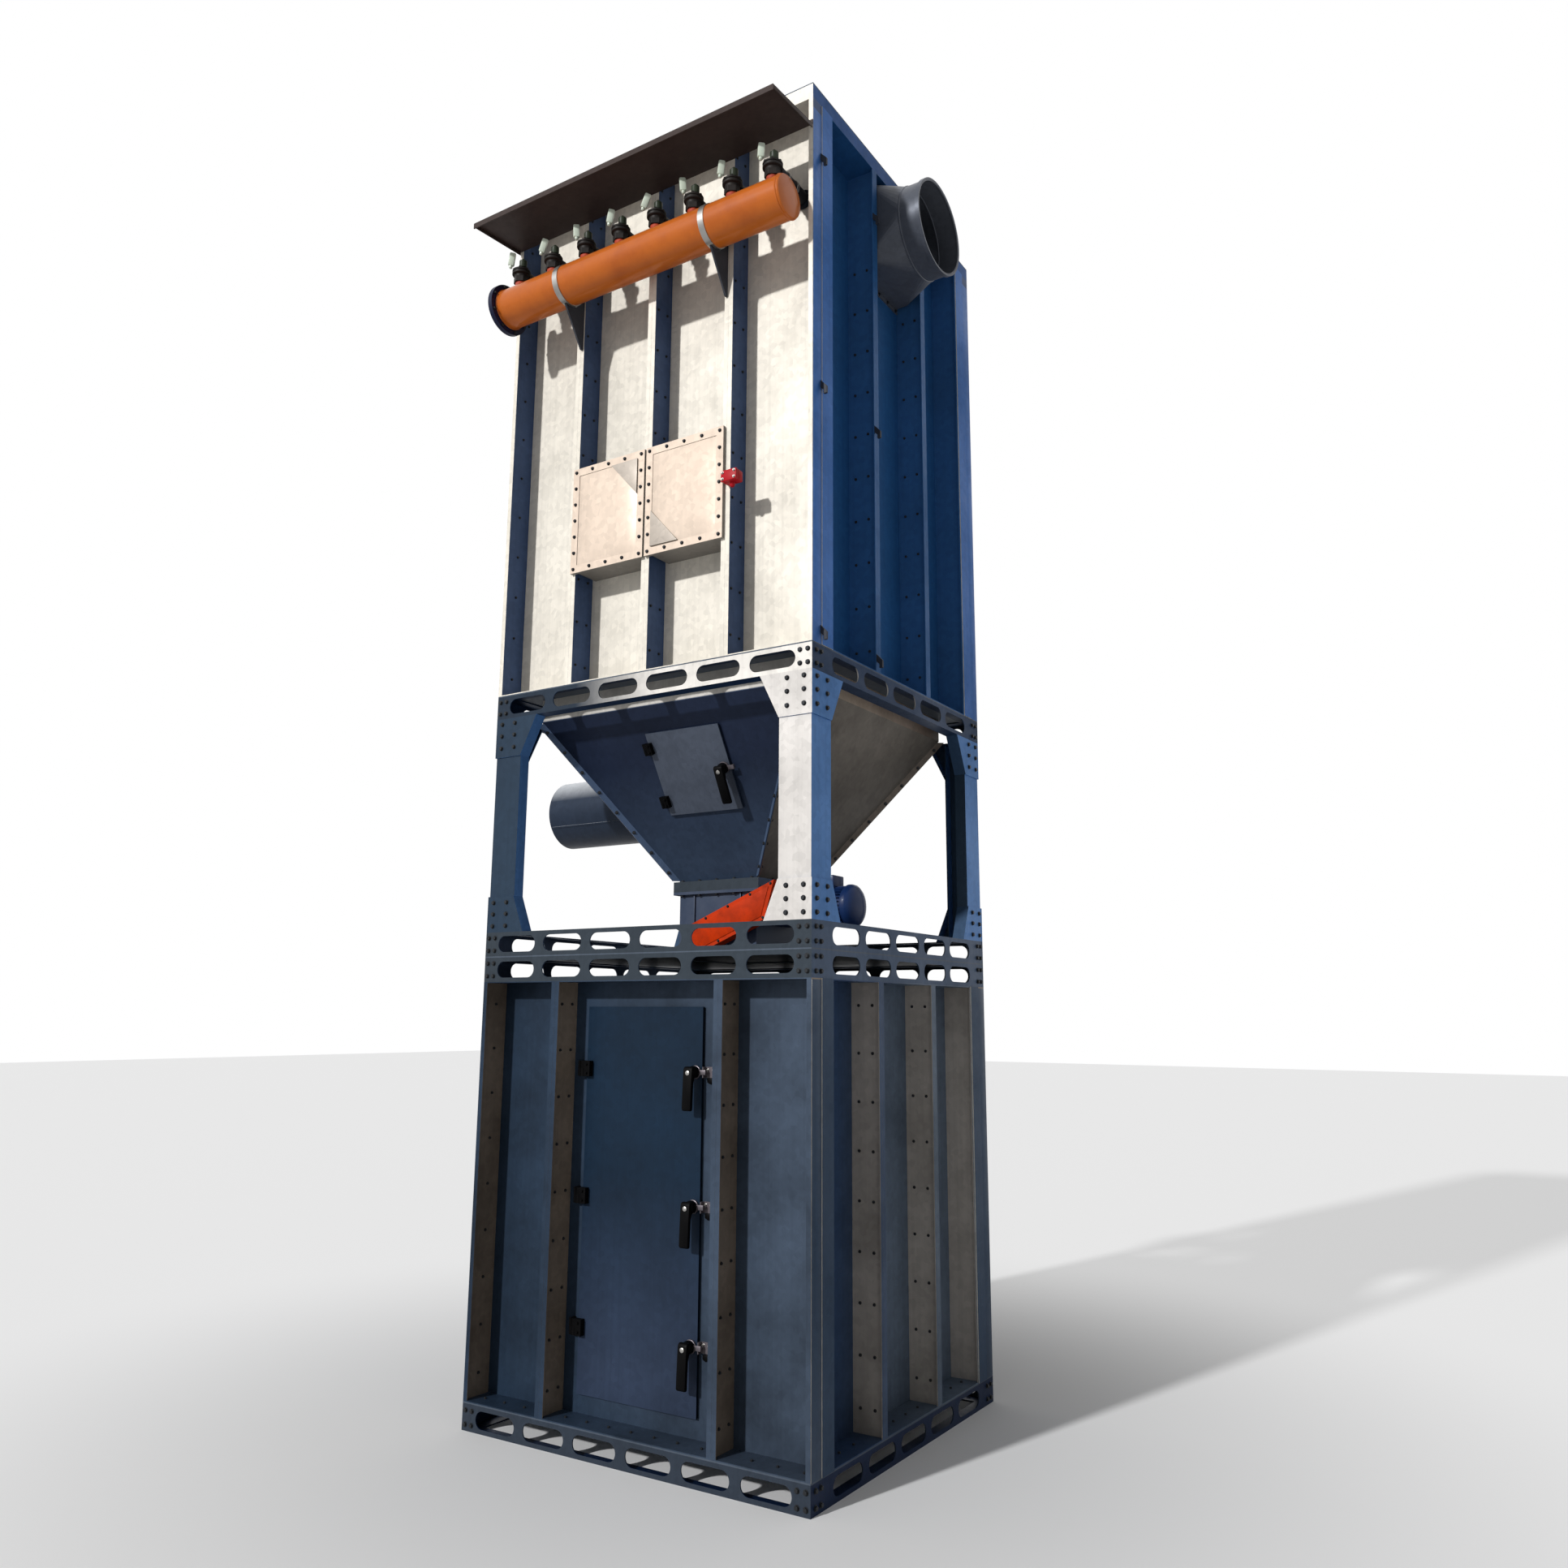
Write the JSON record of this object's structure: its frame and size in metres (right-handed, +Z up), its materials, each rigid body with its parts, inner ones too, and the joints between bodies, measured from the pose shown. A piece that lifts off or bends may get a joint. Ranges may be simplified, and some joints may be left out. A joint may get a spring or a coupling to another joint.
{
  "type": "pulse jet dust collector",
  "caption": "Free-standing sheet steel dust collector tower: ribbed filter housing with air header and vents, hopper in an open leg bay, and a bottom room with a door.",
  "frame": {"origin": "on the ground at the centre of the tower's footprint", "axes": "+Z up, +X to the right of the door front, -Y out of the front"},
  "size_m": [2.03, 1.795, 5.31],
  "materials": {
    "galvanised_sheet": "hot-dip galvanised sheet, satin with a fine spangle",
    "black_polyamide": "black glass-filled polyamide",
    "zinc_plate": "bright zinc plate",
    "grey_paint": "blue-grey enamel",
    "guard_paint": "orange-red powder coat",
    "motor_paint": "blue enamel",
    "tank_paint": "orange-brown primer paint",
    "bracket_steel": "dark painted steel",
    "valve_casting": "die-cast aluminium over red-brown nipples",
    "pale_plastic": "pale green-white connector plastic",
    "pipe_steel": "dark painted tube",
    "red_plastic": "red moulded plastic"
  },
  "bodies": {
    "tower": {"base_beams_front_back": "galvanised_sheet", "base_beams_sides": "galvanised_sheet", "room_floor": "galvanised_sheet", "room_front_panels": "galvanised_sheet", "door_surround": "galvanised_sheet", "room_right_panels": "galvanised_sheet", "room_left_panels": "galvanised_sheet", "room_back_panels": "galvanised_sheet", "door_hinges": "black_polyamide", "latch_keepers": "zinc_plate", "room_top_beams": "galvanised_sheet", "room_roof": "galvanised_sheet", "leg_base_beams": "galvanised_sheet", "legs": "galvanised_sheet", "leg_gussets": "galvanised_sheet", "upper_beams": "galvanised_sheet", "hopper_ring": "galvanised_sheet", "hopper_front_wall": "galvanised_sheet", "hopper_back_wall": "galvanised_sheet", "hopper_right_wall": "galvanised_sheet", "hopper_left_wall": "galvanised_sheet", "hopper_outlet_flange": "galvanised_sheet", "rotary_valve": "grey_paint", "drive_guard": "guard_paint", "gear_motor": "motor_paint", "inlet_duct": "galvanised_sheet", "hatch_hinges": "black_polyamide", "housing_front_panels": "galvanised_sheet", "housing_right_panels": "galvanised_sheet", "housing_left_panels": "galvanised_sheet", "housing_back_panels": "galvanised_sheet", "corner_strips": "galvanised_sheet", "housing_rim": "galvanised_sheet", "housing_roof": "galvanised_sheet", "vent_frames": "galvanised_sheet", "vent_membranes": "galvanised_sheet", "outlet_duct": "galvanised_sheet", "air_tank": "tank_paint", "tank_flange": "bracket_steel", "tank_cap": "tank_paint", "tank_straps": "zinc_plate", "tank_brackets": "bracket_steel", "pulse_valves": "valve_casting", "solenoids": "pale_plastic", "blow_pipes": "pipe_steel", "canopy": "galvanised_sheet", "sensor_box": "red_plastic", "panel_hooks": "bracket_steel"},
    "door": {"door": "galvanised_sheet", "door_hinge_leaves": "black_polyamide"},
    "door_latch_top": {"door_latch_top": "black_polyamide"},
    "door_latch_middle": {"door_latch_middle": "black_polyamide"},
    "door_latch_bottom": {"door_latch_bottom": "black_polyamide"},
    "hatch": {"hatch": "galvanised_sheet", "hatch_hinge_leaves": "black_polyamide"},
    "hatch_latch": {"hatch_latch": "black_polyamide"}
  },
  "joints": [
    {"name": "door_swing", "type": "hinge", "parent": "tower", "child": "door", "pos_m": [-0.33, -0.646, 0.9075], "axis": [0, 0, -1], "range_deg": [0, 100]},
    {"name": "latch_top_turn", "type": "hinge", "parent": "door", "child": "door_latch_top", "pos_m": [0.222, -0.634, 1.3925], "axis": [0, 1, 0], "range_deg": [0, 90]},
    {"name": "latch_middle_turn", "type": "hinge", "parent": "door", "child": "door_latch_middle", "pos_m": [0.222, -0.634, 0.9075], "axis": [0, 1, 0], "range_deg": [0, 90]},
    {"name": "latch_bottom_turn", "type": "hinge", "parent": "door", "child": "door_latch_bottom", "pos_m": [0.222, -0.634, 0.4225], "axis": [0, 1, 0], "range_deg": [0, 90]},
    {"name": "hatch_swing", "type": "hinge", "parent": "tower", "child": "hatch", "pos_m": [-0.139, -0.48031, 2.59061], "axis": [0, 0.5156, -0.8568], "range_deg": [0, 100]},
    {"name": "hatch_latch_turn", "type": "hinge", "parent": "hatch", "child": "hatch_latch", "pos_m": [0.217, -0.47088, 2.59628], "axis": [0, 0.8568, 0.5156], "range_deg": [0, 90]}
  ]
}
